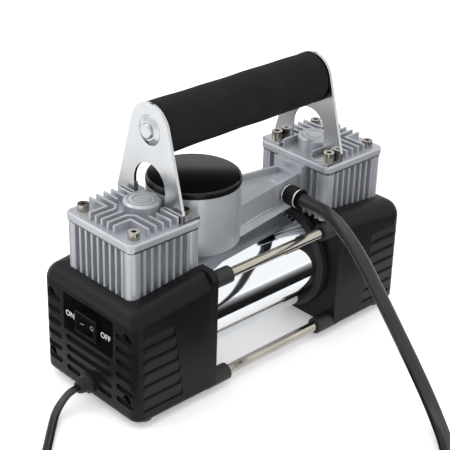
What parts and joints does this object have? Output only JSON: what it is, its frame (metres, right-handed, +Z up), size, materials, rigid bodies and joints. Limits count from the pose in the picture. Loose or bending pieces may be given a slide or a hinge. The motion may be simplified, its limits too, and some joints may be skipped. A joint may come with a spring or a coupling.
{
  "type": "air compressor",
  "caption": "Portable tyre air compressor with two finned upright cylinders, a chrome motor between two end housings, a top gauge and a foam carrying handle.",
  "frame": {"origin": "centre of the base that the four feet stand on, without the free cord and hose", "axes": "+X along the motor towards the plain end housing, +Z up, -Y the side where the air hose leaves; the switch end faces -X"},
  "size_m": [0.359, 0.3697, 0.188],
  "materials": {
    "black_plastic": "satin moulded black plastic",
    "plate_plastic": "satin dark grey plastic",
    "stainless": "polished stainless steel",
    "zinc_screw": "yellowish zinc plated steel",
    "soft_rubber": "matt black rubber",
    "chrome_shroud": "mirror chrome",
    "steel": "bright steel",
    "magnet": "ferrite",
    "winding": "varnished copper wire on laminations",
    "copper": "turned copper",
    "carbon": "carbon block",
    "bronze": "sintered bronze",
    "cast_aluminium": "silver painted die casting",
    "plain_aluminium": "machined aluminium",
    "gasket": "dark fibre gasket",
    "gauge_black": "gloss black plastic",
    "dial_white": "printed dial",
    "needle_red": "red needle",
    "smoked_lens": "smoked polycarbonate, nearly black",
    "bracket_chrome": "polished steel sheet",
    "foam": "black foam rubber",
    "label_black": "black printed plate",
    "rocker_black": "satin black",
    "brass": "brass",
    "cord_pvc": "black PVC",
    "hose_rubber": "black rubber hose"
  },
  "bodies": {
    "frame": {"left_housing": "black_plastic", "right_housing": "black_plastic", "end_plates": "plate_plastic", "tie_rods": "stainless", "rod_sleeves": "soft_rubber", "rubber_feet": "soft_rubber", "housing_screws": "steel", "switch_label": "label_black", "switch_body": "rocker_black", "switch_terminals": "brass", "cord_gland": "soft_rubber", "power_cord": "cord_pvc", "power_cord_coil": "cord_pvc", "plug_shell": "black_plastic", "plug_side_contacts": "brass", "plug_nose_ring": "black_plastic", "motor_shroud": "chrome_shroud", "motor_collars": "soft_rubber", "motor_can": "steel", "motor_magnets": "magnet", "motor_end_bells": "plain_aluminium", "motor_brushes": "carbon", "shaft_bearings": "bronze", "crankcases": "plain_aluminium", "gear_axles": "steel", "left_cylinder": "cast_aluminium", "right_cylinder": "cast_aluminium", "left_head": "cast_aluminium", "right_head": "cast_aluminium", "valve_plates": "steel", "head_gaskets": "gasket", "head_screws": "zinc_screw", "manifold": "cast_aluminium", "gauge_movement": "brass", "gauge_dial": "dial_white", "gauge_bezel": "gauge_black", "gauge_lens": "smoked_lens", "handle_brackets": "bracket_chrome", "handle_tube": "steel", "foam_grip": "foam", "handle_bolts": "bracket_chrome", "hose_nut": "gauge_black", "air_hose": "hose_rubber", "air_hose_coil": "hose_rubber", "chuck_body": "black_plastic"},
    "rotor": {"motor_shaft": "steel", "armature": "winding", "commutator": "copper", "drive_pinions": "steel"},
    "left_crank": {"left_crank_gear": "steel"},
    "right_crank": {"right_crank_gear": "steel"},
    "left_rod": {"left_con_rod": "plain_aluminium"},
    "right_rod": {"right_con_rod": "plain_aluminium"},
    "left_piston_body": {"left_piston": "plain_aluminium"},
    "right_piston_body": {"right_piston": "plain_aluminium"},
    "rocker": {"switch_rocker": "rocker_black"},
    "needle": {"gauge_needle": "needle_red"},
    "sprung_tip": {"plug_tip": "brass"},
    "lever": {"chuck_lever": "plain_aluminium"}
  },
  "joints": [
    {"name": "motor_spin", "type": "hinge", "parent": "frame", "child": "rotor", "pos_m": [0, 0, 0.0442], "axis": [1, 0, 0], "continuous": true},
    {"name": "left_crank_spin", "type": "hinge", "parent": "frame", "child": "left_crank", "pos_m": [-0.0835, 0, 0.0617], "axis": [1, 0, 0], "continuous": true},
    {"name": "right_crank_spin", "type": "hinge", "parent": "frame", "child": "right_crank", "pos_m": [0.0835, 0, 0.0617], "axis": [1, 0, 0], "continuous": true},
    {"name": "left_rod_swing", "type": "hinge", "parent": "left_crank", "child": "left_rod", "pos_m": [-0.0835, 0, 0.0677], "axis": [1, 0, 0], "continuous": true},
    {"name": "right_rod_swing", "type": "hinge", "parent": "right_crank", "child": "right_rod", "pos_m": [0.0835, 0, 0.0677], "axis": [1, 0, 0], "continuous": true},
    {"name": "left_piston_stroke", "type": "slide", "parent": "frame", "child": "left_piston_body", "axis": [0, 0, 1], "range_m": [-0.012, 0]},
    {"name": "right_piston_stroke", "type": "slide", "parent": "frame", "child": "right_piston_body", "axis": [0, 0, 1], "range_m": [-0.012, 0]},
    {"name": "switch_rock", "type": "hinge", "parent": "frame", "child": "rocker", "pos_m": [-0.119, 0, 0.055], "axis": [0, 0, -1], "range_deg": [0, 18]},
    {"name": "needle_turn", "type": "hinge", "parent": "frame", "child": "needle", "pos_m": [-0.0345, 0, 0.121], "axis": [0, 0, -1], "range_deg": [0, 270], "stiffness_Nm_per_rad": 0.00002},
    {"name": "plug_tip_press", "type": "slide", "parent": "frame", "child": "sprung_tip", "axis": [0, 1, 0], "range_m": [0, 0.004], "stiffness_N_per_m": 400},
    {"name": "chuck_lever_lift", "type": "hinge", "parent": "frame", "child": "lever", "pos_m": [0.099, -0.3156, 0.0172], "axis": [0, 1, 0], "range_deg": [0, 90]}
  ],
  "couplings": [
    {"joint": "left_crank_spin", "follows": "motor_spin", "ratio": -0.31579},
    {"joint": "right_crank_spin", "follows": "motor_spin", "ratio": -0.31579},
    {"joint": "left_rod_swing", "follows": "motor_spin", "ratio": 0.31579},
    {"joint": "right_rod_swing", "follows": "motor_spin", "ratio": 0.31579}
  ]
}
